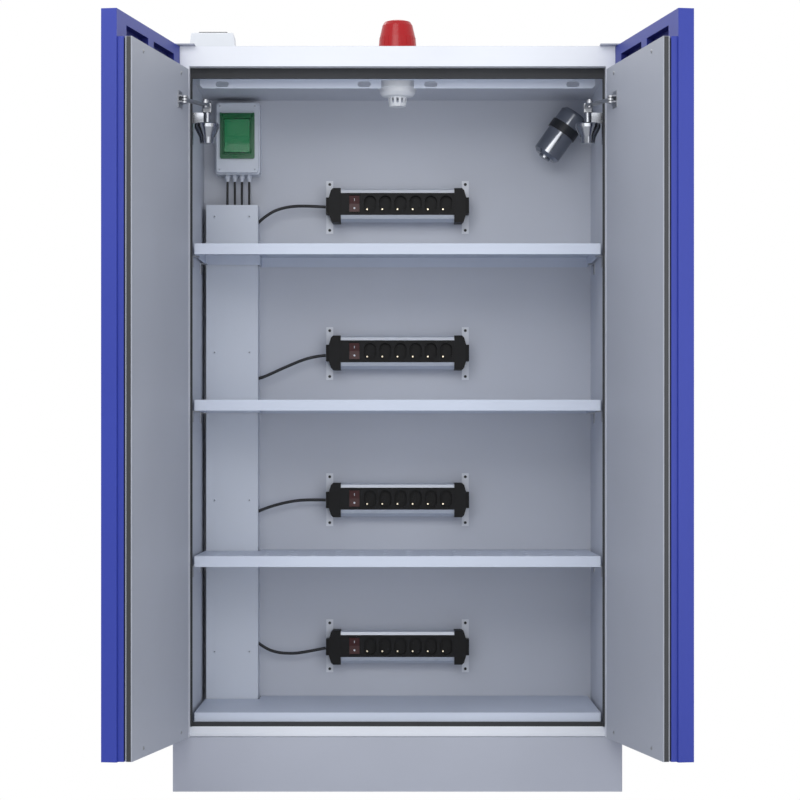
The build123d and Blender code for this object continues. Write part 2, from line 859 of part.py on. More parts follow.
with BuildPart() as strip_housings:
    for level in strip_levels:
        with BuildSketch(side_plane):
            with BuildLine():
                Polyline(
                    (at(strip_back), level - strip_half_height + 8),
                    (at(strip_back), level + strip_half_height - 5),
                    (at(strip_front + 14), level + strip_half_height),
                    (at(strip_front + 3), level + strip_half_height - 3),
                    (at(strip_front), level + face_high + face_clearance),
                    (at(face_back), level + face_high + face_clearance),
                    (at(face_back), level + face_low - face_clearance),
                    (at(strip_front), level + face_low - face_clearance),
                    (at(strip_front + 4), level - strip_half_height + 9),
                    (at(strip_front + 20), level - strip_half_height),
                    close=True,
                )
            make_face()
        extrude(amount=strip_half_length, both=True)
strip_housings.part.label = "strip_housings"
export_step(strip_housings.part, "parts/strip_housings.step")

with BuildPart() as strip_faces:
    well_places = [first_well + i * well_pitch for i in range(well_count)]
    pin_level_depth = strip_front - face_proud + strip_switch_depth / 2
    for level in strip_levels:
        span_box(
            across(strip_half_length),
            deep(strip_front - face_proud, face_back),
            (level + face_low, level + face_high),
        )
        with BuildSketch(upright(strip_front - face_proud)):
            with Locations(*[(x, level + well_rise) for x in well_places]):
                SlotOverall(well_height, well_width, rotation=90)
        extrude(amount=-well_depth, mode=Mode.SUBTRACT)
        with BuildSketch(upright(strip_front - face_proud)):
            with Locations((strip_switch_center, level + strip_switch_rise)):
                Rectangle(strip_switch_width + 2 * strip_switch_gap, strip_switch_height + 3)
        extrude(amount=-well_depth, mode=Mode.SUBTRACT)
        pin_place = (strip_switch_center, at(pin_level_depth), level + strip_switch_rise)
        with Locations(Location(pin_place, (0, 90, 0))):
            Cylinder(
                strip_switch_pin_radius + pivot_clearance,
                strip_switch_width + 2 * strip_switch_pin_length + 1,
                mode=Mode.SUBTRACT,
            )
strip_faces.part.label = "strip_faces"
export_step(strip_faces.part, "parts/strip_faces.step")

with BuildPart() as earth_pins:
    for level in strip_levels:
        with BuildSketch(upright(strip_front - face_proud + well_depth)):
            places = [(x + earth_pin_offset[0], level + well_rise + earth_pin_offset[1]) for x in well_places]
            with Locations(*places):
                RegularPolygon(earth_pin_radius, 10)
        extrude(amount=earth_pin_height)
earth_pins.part.label = "earth_pins"
export_step(earth_pins.part, "parts/earth_pins.step")

for number, level in enumerate(reversed(strip_levels), start=1):
    pivot = Plane(
        origin=(strip_switch_center, at(pin_level_depth), level + strip_switch_rise),
        x_dir=(1, 0, 0),
        z_dir=(0, -1, 0),
    )
    strip_switch = rocker(
        pivot, strip_switch_width, strip_switch_height, strip_switch_depth, 2.0,
        strip_switch_pin_radius, strip_switch_pin_length, strip_switch_depth / 2,
    )
    strip_switch.part.label = f"strip_switch_{number}"
    export_step(strip_switch.part, f"parts/strip_switch_{number}.step")

cap_end = strip_half_length + cap_length
with BuildPart() as strip_ends:
    for level in strip_levels:
        for side in (-1, 1):
            with BuildSketch(upright(strip_front - cap_proud)):
                with BuildLine():
                    Polyline(
                        (side * cap_end, level - tab_half_height),
                        (side * (cap_end - 6), level - cap_half_height + 6),
                        (side * (cap_end - 12), level - cap_half_height),
                        (side * strip_half_length, level - cap_half_height),
                        (side * strip_half_length, level + cap_half_height),
                        (side * (cap_end - 12), level + cap_half_height),
                        (side * (cap_end - 6), level + cap_half_height - 6),
                        (side * cap_end, level + tab_half_height),
                        close=True,
                    )
                make_face()
            extrude(amount=-(strip_back - strip_front + cap_proud))
            tab_span = sorted((side * cap_end, side * (cap_end + tab_length)))
            span_box(
                tab_span,
                deep(strip_front + 6, strip_back),
                (level - tab_half_height, level + tab_half_height),
            )
strip_ends.part.label = "strip_ends"
export_step(strip_ends.part, "parts/strip_ends.step")

with BuildPart() as strip_brackets:
    for level in strip_levels:
        with BuildSketch(upright(strip_back)):
            with Locations((-bracket_center, level), (bracket_center, level)):
                Rectangle(bracket_width, 2 * bracket_half_height)
                with Locations((0, -bracket_hole_height), (0, bracket_hole_height)):
                    Circle(bracket_hole_radius, mode=Mode.SUBTRACT)
        extrude(amount=-bracket_sheet)
strip_brackets.part.label = "strip_brackets"
export_step(strip_brackets.part, "parts/strip_brackets.step")

# Lead of each strip, from its left end cap into the duct: across and height above the strip's middle.
lead_exit = -(cap_end + tab_length)
lead_routes = [
    [(0, -3), (-50, 0), (-98, -1), (-139, -10), (-167, -26), (-193, -47), (-208, -64)],
    [(0, -7), (-30, -10), (-67, -20), (-121, -43), (-168, -65), (-193, -74), (-213, -77)],
    [(0, 0), (-55, 1), (-101, -4), (-153, -17), (-193, -32), (-213, -41)],
    [(0, -3), (-50, -13), (-99, -20), (-153, -14), (-193, 10), (-208, 24)],
]
for number, (level, offsets) in enumerate(zip(reversed(strip_levels), lead_routes), start=1):
    route = [(lead_exit - lead_start_gap + dx, at(lead_depth), level + dz) for dx, dz in offsets]
    lead = cable(route, lead_diameter)
    lead.part.label = f"strip_lead_{number}"
    export_step(lead.part, f"parts/strip_lead_{number}.step")

# ============================================================ aerosol extinguisher
can_axis = Vector(cos(radians(can_tilt)), 0, sin(radians(can_tilt)))
can_origin = Vector(can_foot[0], at(can_depth), can_foot[1])
can_plane = Plane(origin=can_origin, x_dir=(0, 1, 0), z_dir=can_axis)
with BuildPart(can_plane) as extinguisher_can:
    Cylinder(can_radius, can_length, align=(Align.CENTER, Align.CENTER, Align.MIN))
    rims = extinguisher_can.edges().filter_by(GeomType.CIRCLE)
    chamfer(rims, can_shoulder)
    Cylinder(can_radius * 0.42, 6, align=(Align.CENTER, Align.CENTER, Align.MAX))
extinguisher_can.part.label = "extinguisher_can"
export_step(extinguisher_can.part, "parts/extinguisher_can.step")

clamp_origin = can_origin + can_axis * clamp_place
band_plane = Plane(origin=clamp_origin, x_dir=(0, 1, 0), z_dir=can_axis)
with BuildPart() as extinguisher_bracket:
    span_box(
        (clamp_origin.X, opening_half),
        deep(can_depth - clamp_arm_width / 2, can_depth + clamp_arm_width / 2),
        (clamp_origin.Z - clamp_arm_height / 2, clamp_origin.Z + clamp_arm_height / 2),
    )
    span_box(
        (opening_half - clamp_wall, opening_half),
        deep(can_depth - clamp_foot_width / 2, can_depth + clamp_foot_width / 2),
        (clamp_origin.Z - clamp_foot_height / 2, clamp_origin.Z + clamp_foot_height / 2),
    )
    with BuildSketch(band_plane.offset(-clamp_width / 2)):
        Circle(can_radius + clamp_gap + clamp_wall)
    extrude(amount=clamp_width)
    with BuildSketch(band_plane.offset(-can_length)):
        Circle(can_radius + clamp_gap)
    extrude(amount=2 * can_length, mode=Mode.SUBTRACT)
extinguisher_bracket.part.label = "extinguisher_bracket"
export_step(extinguisher_bracket.part, "parts/extinguisher_bracket.step")

# ============================================================ door closers
arm_level = link_level + arm_step


def closer(side):
    """Bell-shaped closer body with its stem, spindle and wall plate on one side."""
    place = (side * spindle_side, at(spindle_depth))
    upper = Plane(origin=(*place, 0), x_dir=(1, 0, 0), z_dir=(0, -1, 0))
    stem_top = hub_bottom - running_gap
    bell_top = bell_bottom + bell_height
    with BuildPart() as piece:
        with BuildSketch(upper):
            with BuildLine():
                Polyline(
                    (0, bell_bottom),
                    (bell_radius * 0.55, bell_bottom),
                    (bell_radius * 0.62, bell_bottom + bell_height * 0.3),
                )
                ThreePointArc(
                    (bell_radius * 0.62, bell_bottom + bell_height * 0.3),
                    (bell_radius * 0.82, bell_bottom + bell_height * 0.55),
                    (bell_radius, bell_bottom + bell_height * 0.78),
                )
                Polyline(
                    (bell_radius, bell_bottom + bell_height * 0.78),
                    (bell_radius, bell_top - 3),
                    (bell_radius - 3, bell_top),
                    (stem_radius, bell_top),
                    (stem_radius, stem_top),
                    (spindle_radius, stem_top),
                    (spindle_radius, hub_bottom + hub_height + 2),
                    (0, hub_bottom + hub_height + 2),
                    (0, bell_bottom),
                )
            make_face()
        revolve(axis=Axis((*place, 0), (0, 0, 1)))
        plate_span = sorted((side * opening_half, side * spindle_side))
        y_span = deep(spindle_depth - 3, spindle_depth + 3)
        span_box(plate_span, y_span, (bell_top, stem_top))
        foot_span = sorted((side * opening_half, side * (opening_half - 3)))
        span_box(foot_span, deep(spindle_depth - 14, spindle_depth + 26), (bell_bottom, stem_top))
    return piece


with BuildPart() as closer_housings:
    for side in (-1, 1):
        add(closer(side).part)
closer_housings.part.label = "closer_housings"
export_step(closer_housings.part, "parts/closer_housings.step")

# Left door frame at rest: local x runs along the door from its pivot, local y through its thickness.
door_plane = Plane(
    origin=(-hinge_side, at(-hinge_setoff), 0), x_dir=(-sin(lean), -cos(lean), 0), z_dir=(0, 0, 1)
)
bracket_lift = panel_face + bracket_standoff
door_pin = door_plane.from_local_coords(Vector(bracket_along, bracket_lift, 0))
spindle = Vector(-spindle_side, at(spindle_depth), 0)
reach = door_pin - spindle
along = (crank_length**2 - link_length**2 + reach.length**2) / (2 * reach.length)
aside = (crank_length**2 - along**2) ** 0.5
direction = reach.normalized()
elbow = spindle + direction * along + Vector(-direction.Y, direction.X, 0) * aside

crank_plane = Plane(
    origin=(spindle.X, spindle.Y, arm_level - arm_thickness / 2), x_dir=elbow - spindle, z_dir=(0, 0, 1)
)
rivet_radius = arm_width * 0.35
rivet_head = 4.0
with BuildPart() as left_crank:
    with BuildSketch(crank_plane):
        with Locations((crank_length / 2, 0)):
            SlotCenterToCenter(crank_length, arm_width)
    extrude(amount=arm_thickness)
    with BuildSketch(crank_plane.offset(hub_bottom - arm_level + arm_thickness / 2)):
        RectangleRounded(2 * hub_radius, 2 * hub_radius, 4)
    extrude(amount=hub_height)
    with BuildSketch(crank_plane.offset(running_gap + arm_thickness - arm_step)):
        with Locations((crank_length, 0)):
            Circle(rivet_radius)
    extrude(amount=arm_step + rivet_head - running_gap)
    with BuildSketch(crank_plane.offset(-arm_width)):
        Circle(spindle_radius + pivot_clearance)
    extrude(amount=2 * hub_height + arm_width, mode=Mode.SUBTRACT)
left_crank.part.label = "left_crank"
export_step(left_crank.part, "parts/left_crank.step")

link_plane = Plane(
    origin=(door_pin.X, door_pin.Y, link_level - arm_thickness / 2), x_dir=elbow - door_pin, z_dir=(0, 0, 1)
)
with BuildPart() as left_link:
    with BuildSketch(link_plane):
        with Locations((link_length / 2, 0)):
            SlotCenterToCenter(link_length, arm_width * 0.9)
    extrude(amount=arm_thickness)
    with BuildSketch(link_plane):
        with Locations((link_length, 0)):
            Circle(rivet_radius)
    extrude(amount=-rivet_head)
    with BuildSketch(link_plane):
        Circle(eye_pin_radius + pivot_clearance)
    extrude(amount=arm_thickness, mode=Mode.SUBTRACT)
left_link.part.label = "left_link"
export_step(left_link.part, "parts/left_link.step")

right_crank = mirrored(left_crank)
right_crank.part.label = "right_crank"
export_step(right_crank.part, "parts/right_crank.step")

right_link = mirrored(left_link)
right_link.part.label = "right_link"
export_step(right_link.part, "parts/right_link.step")

# ============================================================ doors
pan_span = (-pan_overhang, door_end)
step_span = (step_start, step_end)
with BuildPart(door_plane) as left_door_shell:
    span_box(pan_span, (-pan_front, pan_back), (door_bottom, door_top))
    span_box(step_span, (0, step_face), (step_bottom, step_top))
    span_box(
        (pan_span[0] + sheet, pan_span[1] - sheet),
        (-pan_front + sheet, pan_back - sheet),
        (door_bottom + sheet, door_top - sheet),
        mode=Mode.SUBTRACT,
    )
    span_box(
        (step_start + sheet, step_end - sheet),
        (0, step_face - sheet),
        (step_bottom + sheet, step_top - sheet),
        mode=Mode.SUBTRACT,
    )
    span_box(
        (step_start + door_lip, step_end - door_lip),
        (0, step_face + 1),
        (step_bottom + door_lip, step_top - door_lip),
        mode=Mode.SUBTRACT,
    )
    for start in slot_starts:
        span_box(
            (start, start + slot_length),
            (0, pan_back + 1),
            (slot_bottom, slot_bottom + slot_height),
            mode=Mode.SUBTRACT,
        )
    block_height = pivot_engagement + 10
    for z_span in ((door_bottom, door_bottom + block_height), (door_top - block_height, door_top)):
        span_box((-pan_overhang, pivot_block), (-pivot_block, pan_back), z_span)
    with Locations((0, 0, door_bottom), (0, 0, door_top)):
        Cylinder(
            pivot_radius + pivot_clearance, 2 * (pivot_engagement + 1), mode=Mode.SUBTRACT
        )
left_door_shell.part.label = "left_door_shell"
export_step(left_door_shell.part, "parts/left_door_shell.step")

inside = sheet + board_clearance
dish_along = door_end - dish_edge_distance
dish_z = (dish_center_height - dish_height / 2, dish_center_height + dish_height / 2)
with BuildPart(door_plane) as left_door_board:
    span_box(
        (pan_span[0] + inside, pan_span[1] - inside),
        (-pan_front + inside, pan_back - inside),
        (door_bottom + inside, door_top - inside),
    )
    span_box(
        (step_start + inside, step_end - inside),
        (0, step_face - inside),
        (step_bottom + inside, step_top - inside),
    )
    for start in slot_starts:
        span_box(
            (start, start + slot_length),
            (pan_back - slot_depth, pan_back),
            (slot_bottom, slot_bottom + slot_height),
            mode=Mode.SUBTRACT,
        )
    for z_span in ((door_bottom, door_bottom + block_height), (door_top - block_height, door_top)):
        grown = (z_span[0] - board_clearance, z_span[1] + board_clearance)
        span_box(
            (-pan_overhang, pivot_block + board_clearance),
            (-pivot_block - board_clearance, pan_back),
            grown,
            mode=Mode.SUBTRACT,
        )
left_door_board.part.label = "left_door_board"
export_step(left_door_board.part, "parts/left_door_board.step")

with BuildPart(door_plane) as left_door_panel:
    panel_span = (step_start, panel_end)
    span_box(panel_span, (panel_back, panel_face), (step_bottom, step_top))
    span_box(
        (step_start + sheet, panel_end - sheet),
        (panel_back + sheet, panel_face - sheet),
        (step_bottom + sheet, step_top - sheet),
        mode=Mode.SUBTRACT,
    )
    span_box(
        (step_start + door_lip, panel_end - door_lip),
        (panel_back - 1, panel_back + 2 * sheet),
        (step_bottom + door_lip, step_top - door_lip),
        mode=Mode.SUBTRACT,
    )
left_door_panel.part.label = "left_door_panel"
export_step(left_door_panel.part, "parts/left_door_panel.step")

with BuildPart(door_plane) as left_door_seal:
    seal_span = (step_start + seal_inset, panel_end - seal_inset)
    span_box(
        seal_span, (step_face, panel_back), (step_bottom + seal_inset, step_top - seal_inset)
    )
    span_box(
        (seal_span[0] + seal_width, seal_span[1] - seal_width),
        (step_face - 1, panel_back + 1),
        (step_bottom + seal_inset + seal_width, step_top - seal_inset - seal_width),
        mode=Mode.SUBTRACT,
    )
left_door_seal.part.label = "left_door_seal"
export_step(left_door_seal.part, "parts/left_door_seal.step")

eye_half = arm_width * 0.45
with BuildPart(door_plane) as left_arm_bracket:
    foot_span = (bracket_along - bracket_foot / 2, bracket_along + bracket_foot / 2)
    half_stack = bracket_gap / 2 + bracket_plate
    span_box(
        foot_span,
        (panel_face, panel_face + 2),
        (link_level - half_stack - 12, link_level + half_stack + 12),
    )
    for z_span in (
        (link_level - half_stack, link_level - bracket_gap / 2),
        (link_level + bracket_gap / 2, link_level + half_stack),
    ):
        span_box(foot_span, (panel_face, bracket_lift), z_span)
        with Locations((bracket_along, bracket_lift, sum(z_span) / 2)):
            Cylinder(eye_half, bracket_plate)
    with Locations((bracket_along, bracket_lift, link_level)):
        Cylinder(eye_pin_radius, 2 * half_stack)
left_arm_bracket.part.label = "left_arm_bracket"
export_step(left_arm_bracket.part, "parts/left_arm_bracket.step")

right_door_panel = mirrored(left_door_panel)
right_door_panel.part.label = "right_door_panel"
export_step(right_door_panel.part, "parts/right_door_panel.step")

right_door_seal = mirrored(left_door_seal)
right_door_seal.part.label = "right_door_seal"
export_step(right_door_seal.part, "parts/right_door_seal.step")

right_arm_bracket = mirrored(left_arm_bracket)
right_arm_bracket.part.label = "right_arm_bracket"
export_step(right_arm_bracket.part, "parts/right_arm_bracket.step")

# Right door at rest: local x runs along it from its pivot, local y points out of its outer face.
right_plane = Plane(
    origin=(hinge_side, at(-hinge_setoff), 0), x_dir=(sin(lean), -cos(lean), 0), z_dir=(0, 0, 1)
)
outer_face = pan_front
dish_span = (dish_along - dish_width / 2, dish_along + dish_width / 2)
lock_level = dish_center_height - lock_offset
lock_origin = right_plane.from_local_coords(Vector(dish_along, outer_face, lock_level))
lock_plane = Plane(origin=lock_origin, z_dir=right_plane.y_dir)
with BuildPart() as right_door_shell:
    mirror(left_door_shell.part, about=Plane.YZ)
    with Locations(right_plane.location):
        span_box(dish_span, (outer_face - 2 * sheet, outer_face + 1), dish_z, mode=Mode.SUBTRACT)
    with BuildSketch(lock_plane):
        Circle(lock_radius - 3)
    extrude(amount=-2 * sheet, mode=Mode.SUBTRACT)
right_door_shell.part.label = "right_door_shell"
export_step(right_door_shell.part, "parts/right_door_shell.step")

with BuildPart() as right_door_board:
    mirror(left_door_board.part, about=Plane.YZ)
    with Locations(right_plane.location):
        span_box(
            (dish_span[0] - 1, dish_span[1] + 1),
            (outer_face - dish_depth - 1, outer_face),
            (dish_z[0] - 1, dish_z[1] + 1),
            mode=Mode.SUBTRACT,
        )
        span_box(
            (dish_along - lock_radius, dish_along + lock_radius),
            (outer_face - 26, outer_face),
            (lock_level - lock_radius, lock_level + lock_radius),
            mode=Mode.SUBTRACT,
        )
right_door_board.part.label = "right_door_board"
export_step(right_door_board.part, "parts/right_door_board.step")

handle_pivot_z = dish_center_height + handle_length / 2 - handle_hub
handle_pivot_y = outer_face - handle_hub - 1
with BuildPart(right_plane) as handle_dish:
    span_box(dish_span, (outer_face - dish_depth, outer_face), dish_z)
    span_box(
        (dish_span[0] + dish_wall, dish_span[1] - dish_wall),
        (outer_face - dish_depth + dish_wall, outer_face + 1),
        (dish_z[0] + dish_wall, dish_z[1] - dish_wall),
        mode=Mode.SUBTRACT,
    )
    span_box(
        (dish_span[0] - dish_rim, dish_span[1] + dish_rim),
        (outer_face, outer_face + 1.2),
        (dish_z[0] - dish_rim, dish_z[1] + dish_rim),
    )
    span_box(
        (dish_span[0] + dish_wall, dish_span[1] - dish_wall),
        (outer_face - 1, outer_face + 2),
        (dish_z[0] + dish_wall, dish_z[1] - dish_wall),
        mode=Mode.SUBTRACT,
    )
    pin_plane = Plane(
        origin=right_plane.from_local_coords(Vector(dish_span[0], handle_pivot_y, handle_pivot_z)),
        z_dir=right_plane.x_dir,
    )
    with BuildSketch(pin_plane):
        Circle(handle_pin_radius)
    extrude(amount=dish_width)
handle_dish.part.label = "handle_dish"
export_step(handle_dish.part, "parts/handle_dish.step")

with BuildPart() as lock_cylinder:
    with BuildSketch(lock_plane):
        Circle(lock_radius)
        Rectangle(2, 8, mode=Mode.SUBTRACT)
    extrude(amount=lock_rise)
    with BuildSketch(lock_plane):
        Circle(lock_radius - 3 - board_clearance)
    extrude(amount=-22)
lock_cylinder.part.label = "lock_cylinder"
export_step(lock_cylinder.part, "parts/lock_cylinder.step")

with BuildPart() as door_handle:
    handle_origin = right_plane.from_local_coords(
        Vector(dish_along - handle_width / 2, handle_pivot_y, handle_pivot_z)
    )
    with BuildSketch(Plane(origin=handle_origin, x_dir=right_plane.y_dir, z_dir=right_plane.x_dir)):
        Circle(handle_hub)
        with Locations((handle_hub - handle_thickness / 2, -(handle_length - handle_hub) / 2)):
            Rectangle(handle_thickness, handle_length - handle_hub)
        Circle(handle_pin_radius + pivot_clearance, mode=Mode.SUBTRACT)
    extrude(amount=handle_width)
door_handle.part.label = "door_handle"
export_step(door_handle.part, "parts/door_handle.step")

crank_closed = degrees(atan2(elbow.Y - spindle.Y, elbow.X - spindle.X))
print(f"front {front_y:.3f}, elbow ({elbow.X:.2f}, {elbow.Y:.2f}), crank at {crank_closed:.2f} degrees")
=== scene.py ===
"""Looks of the battery charging cabinet: finishes, cables, screws, sockets, studio and camera."""
import json
import logging
from dataclasses import dataclass, field
from math import cos, pi, radians, sin
from typing import Iterable, Sequence

import bmesh
import bpy
from mathutils import Matrix, Vector


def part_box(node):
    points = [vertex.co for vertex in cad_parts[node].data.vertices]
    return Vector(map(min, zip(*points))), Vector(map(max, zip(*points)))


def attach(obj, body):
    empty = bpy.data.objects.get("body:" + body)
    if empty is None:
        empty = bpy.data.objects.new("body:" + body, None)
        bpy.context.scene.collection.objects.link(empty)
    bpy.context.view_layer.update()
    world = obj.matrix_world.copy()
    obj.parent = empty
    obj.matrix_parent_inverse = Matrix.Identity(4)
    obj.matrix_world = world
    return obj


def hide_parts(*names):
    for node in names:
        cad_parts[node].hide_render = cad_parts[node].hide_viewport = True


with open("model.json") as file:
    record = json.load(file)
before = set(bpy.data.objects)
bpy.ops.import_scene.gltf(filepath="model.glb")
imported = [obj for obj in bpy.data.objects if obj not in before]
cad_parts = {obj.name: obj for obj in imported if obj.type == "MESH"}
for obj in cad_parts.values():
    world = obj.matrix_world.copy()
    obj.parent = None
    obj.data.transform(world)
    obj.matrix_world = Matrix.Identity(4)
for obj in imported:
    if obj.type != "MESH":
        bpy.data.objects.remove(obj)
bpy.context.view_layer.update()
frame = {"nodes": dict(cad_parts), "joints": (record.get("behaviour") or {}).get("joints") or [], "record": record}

LOG = logging.getLogger("cabinet")
MM = 0.001
Point = tuple[float, float, float]
Profile = tuple[tuple[float, float], ...]


@dataclass(frozen=True)
class Finish:
    """One finish: its colour, gloss and the fine texture of its surface.

    Attributes:
        name: name of its material.
        color: linear colour.
        roughness: roughness in the middle of the grain.
        grain: scale of the fine noise, per metre.
        relief: strength of the bump made by the grain.
        shade: share by which the slow shade darkens the colour at most.
        coat: weight of the clear coat.
        alpha: share of what lies behind that is covered.
        metal: whether it is bare metal.
        brushed: whether the grain is drawn out along x.
        specular: level of the mirror reflection.
    """

    name: str
    color: tuple[float, float, float]
    roughness: float = 0.45
    grain: float = 900.0
    relief: float = 0.04
    shade: float = 0.05
    coat: float = 0.0
    alpha: float = 1.0
    metal: bool = False
    brushed: bool = False
    specular: float = 0.5


def tint(red: int, green: int, blue: int) -> tuple[float, float, float]:
    """Linear colour from sRGB display values between 0 and 255."""
    channels = [value / 255 for value in (red, green, blue)]
    return tuple(c / 12.92 if c <= 0.04045 else ((c + 0.055) / 1.055) ** 2.4 for c in channels)


FINISHES: dict[str, Finish] = {
    "casing_paint": Finish("body_enamel", tint(226, 229, 236), 0.42, relief=0.08),
    "frame_paint": Finish("front_enamel", tint(232, 235, 242), 0.38, relief=0.06),
    "liner": Finish("liner_enamel", tint(200, 204, 214), 0.5, 600, 0.08),
    "board": Finish("mineral_board", tint(205, 200, 190), 0.9, 300, 0.3, 0.1),
    "door_board": Finish("door_core_blue", tint(20, 28, 112), 0.7, 300, 0.1),
    "seal": Finish("seal_rubber", tint(38, 40, 44), 0.65, 400, 0.1, 0.15),
    "plinth_paint": Finish("plinth_enamel", tint(173, 177, 189), 0.5, 700, 0.08),
    "steel": Finish("zinc_steel", tint(170, 172, 176), 0.35, metal=True, brushed=True),
    "black_steel": Finish("black_steel", tint(38, 40, 44), 0.4, 700, 0.1),
    "red_lens": Finish("beacon_red", tint(176, 8, 20), 0.25, 200, 0.01, 0.1, 0.1, specular=0.35),
    "dark_plastic": Finish("dark_plastic", tint(46, 48, 52), 0.5),
    "white_plastic": Finish("white_plastic", tint(222, 225, 230), 0.42, 700, 0.04),
    "shelf_paint": Finish("shelf_enamel", tint(202, 210, 226), 0.42, 800, 0.06),
    "duct_plastic": Finish("duct_plastic", tint(214, 220, 231), 0.4, 500, 0.04),
    "green_plastic": Finish("rocker_green", tint(8, 146, 88), 0.28, 300, 0.02, 0.06, 0.3),
    "green_frame": Finish("frame_green", tint(20, 96, 58), 0.35, 300, 0.03),
    "green_clear": Finish("flap_green", tint(10, 140, 74), 0.12, 200, 0.01, alpha=0.1,
                          specular=0.05),
    "cable": Finish("cable_sheath", tint(24, 25, 28), 0.5, 900, 0.06),
    "chrome": Finish("bright_chrome", tint(152, 155, 161), 0.18, 300, 0.01, 0.03, metal=True),
    "alloy": Finish("satin_alloy", tint(222, 226, 232), 0.45, metal=True, brushed=True),
    "black_plastic": Finish("strip_black", tint(14, 14, 16), 0.5, 900, 0.08, specular=0.2),
    "pin_metal": Finish("nickel_pin", tint(225, 214, 190), 0.2, metal=True),
    "red_switch": Finish("dull_red", tint(62, 10, 14), 0.3, 300, 0.01, 0.1, specular=0.3),
    "door_paint": Finish("door_blue", tint(42, 58, 156), 0.42, 900, 0.1, 0.05, specular=0.4),
    "panel_paint": Finish("panel_enamel", tint(172, 176, 187), 0.5, 600, 0.08),
    # Near-black painted shade standing in for the hollow of a screw recess and of a contact hole.
    "hole": Finish("painted_hole_shade", tint(12, 12, 14), 0.8),
}


class Paintshop:
    """Builds the shared texture group once and a material for each finish."""

    GRAIN_DETAIL = 3
    GRAIN_ROUGHNESS = 0.12
    GRAIN_HEIGHT = 0.4 * MM
    BRUSH_STRETCH = (0.02, 1, 1)
    SLOW_SCALE = 2.2
    SLOW_RANGE = (0.35, 0.65)

    def __init__(self) -> None:
        """Start with no material and the shared group."""
        self.made: dict[str, bpy.types.Material] = {}
        self.texture = self._texture_group()

    def _texture_group(self) -> bpy.types.NodeTree:
        """Fine grain and slow shade over a surface.

        Returns:
            The group, with a colour, a roughness and a height output.
        """
        group = bpy.data.node_groups.new("surface_texture", "ShaderNodeTree")
        inputs = (("Color", "NodeSocketColor"), ("Roughness", "NodeSocketFloat"),
                  ("Scale", "NodeSocketFloat"), ("Shade", "NodeSocketFloat"),
                  ("Stretch", "NodeSocketVector"))
        outputs = (("Color", "NodeSocketColor"), ("Roughness", "NodeSocketFloat"),
                   ("Height", "NodeSocketFloat"))
        for direction, sockets in (("INPUT", inputs), ("OUTPUT", outputs)):
            for name, kind in sockets:
                group.interface.new_socket(name, in_out=direction, socket_type=kind)
        nodes, links = group.nodes, group.links
        source, sink = nodes.new("NodeGroupInput"), nodes.new("NodeGroupOutput")
        place = nodes.new("ShaderNodeTexCoord")
        stretch = nodes.new("ShaderNodeVectorMath")
        stretch.operation = "MULTIPLY"
        links.new(place.outputs["Object"], stretch.inputs[0])
        links.new(source.outputs["Stretch"], stretch.inputs[1])
        fine = nodes.new("ShaderNodeTexNoise")
        fine.inputs["Detail"].default_value = self.GRAIN_DETAIL
        links.new(stretch.outputs[0], fine.inputs["Vector"])
        links.new(source.outputs["Scale"], fine.inputs["Scale"])
        slow = nodes.new("ShaderNodeTexNoise")
        slow.inputs["Scale"].default_value = self.SLOW_SCALE
        links.new(place.outputs["Object"], slow.inputs["Vector"])
        darker = nodes.new("ShaderNodeMapRange")
        links.new(slow.outputs["Fac"], darker.inputs["Value"])
        darker.inputs["From Min"].default_value = self.SLOW_RANGE[0]
        darker.inputs["From Max"].default_value = self.SLOW_RANGE[1]
        darker.inputs["To Min"].default_value = 1.0
        low = nodes.new("ShaderNodeMath")
        low.operation = "SUBTRACT"
        low.inputs[0].default_value = 1.0
        links.new(source.outputs["Shade"], low.inputs[1])
        links.new(low.outputs[0], darker.inputs["To Max"])
        color = nodes.new("ShaderNodeVectorMath")
        color.operation = "SCALE"
        links.new(source.outputs["Color"], color.inputs[0])
        links.new(darker.outputs["Result"], color.inputs["Scale"])
        rough = nodes.new("ShaderNodeMath")
        rough.operation = "MULTIPLY_ADD"
        rough.inputs[1].default_value = self.GRAIN_ROUGHNESS
        links.new(fine.outputs["Fac"], rough.inputs[0])
        links.new(source.outputs["Roughness"], rough.inputs[2])
        links.new(color.outputs["Vector"], sink.inputs["Color"])
        links.new(rough.outputs[0], sink.inputs["Roughness"])
        links.new(fine.outputs["Fac"], sink.inputs["Height"])
        return group

    def material(self, key: str) -> bpy.types.Material:
        """Material of a finish, made when it is first asked for.

        Args:
            key: name of the finish.

        Returns:
            The material.
        """
        if key in self.made:
            return self.made[key]
        finish = FINISHES[key]
        made = bpy.data.materials.new(finish.name)
        made.use_nodes = True
        nodes, links = made.node_tree.nodes, made.node_tree.links
        shader = nodes["Principled BSDF"]
        group = nodes.new("ShaderNodeGroup")
        group.node_tree = self.texture
        group.inputs["Color"].default_value = (*finish.color, 1)
        group.inputs["Roughness"].default_value = finish.roughness - self.GRAIN_ROUGHNESS / 2
        group.inputs["Scale"].default_value = finish.grain
        group.inputs["Shade"].default_value = finish.shade
        group.inputs["Stretch"].default_value = self.BRUSH_STRETCH if finish.brushed else (1, 1, 1)
        bump = nodes.new("ShaderNodeBump")
        bump.inputs["Strength"].default_value = finish.relief
        bump.inputs["Distance"].default_value = self.GRAIN_HEIGHT
        links.new(group.outputs["Color"], shader.inputs["Base Color"])
        links.new(group.outputs["Roughness"], shader.inputs["Roughness"])
        links.new(group.outputs["Height"], bump.inputs["Height"])
        links.new(bump.outputs["Normal"], shader.inputs["Normal"])
        shader.inputs["Metallic"].default_value = 1.0 if finish.metal else 0.0
        shader.inputs["Coat Weight"].default_value = finish.coat
        shader.inputs["Specular IOR Level"].default_value = finish.specular
        shader.inputs["Alpha"].default_value = finish.alpha
        self.made[key] = made
        return made

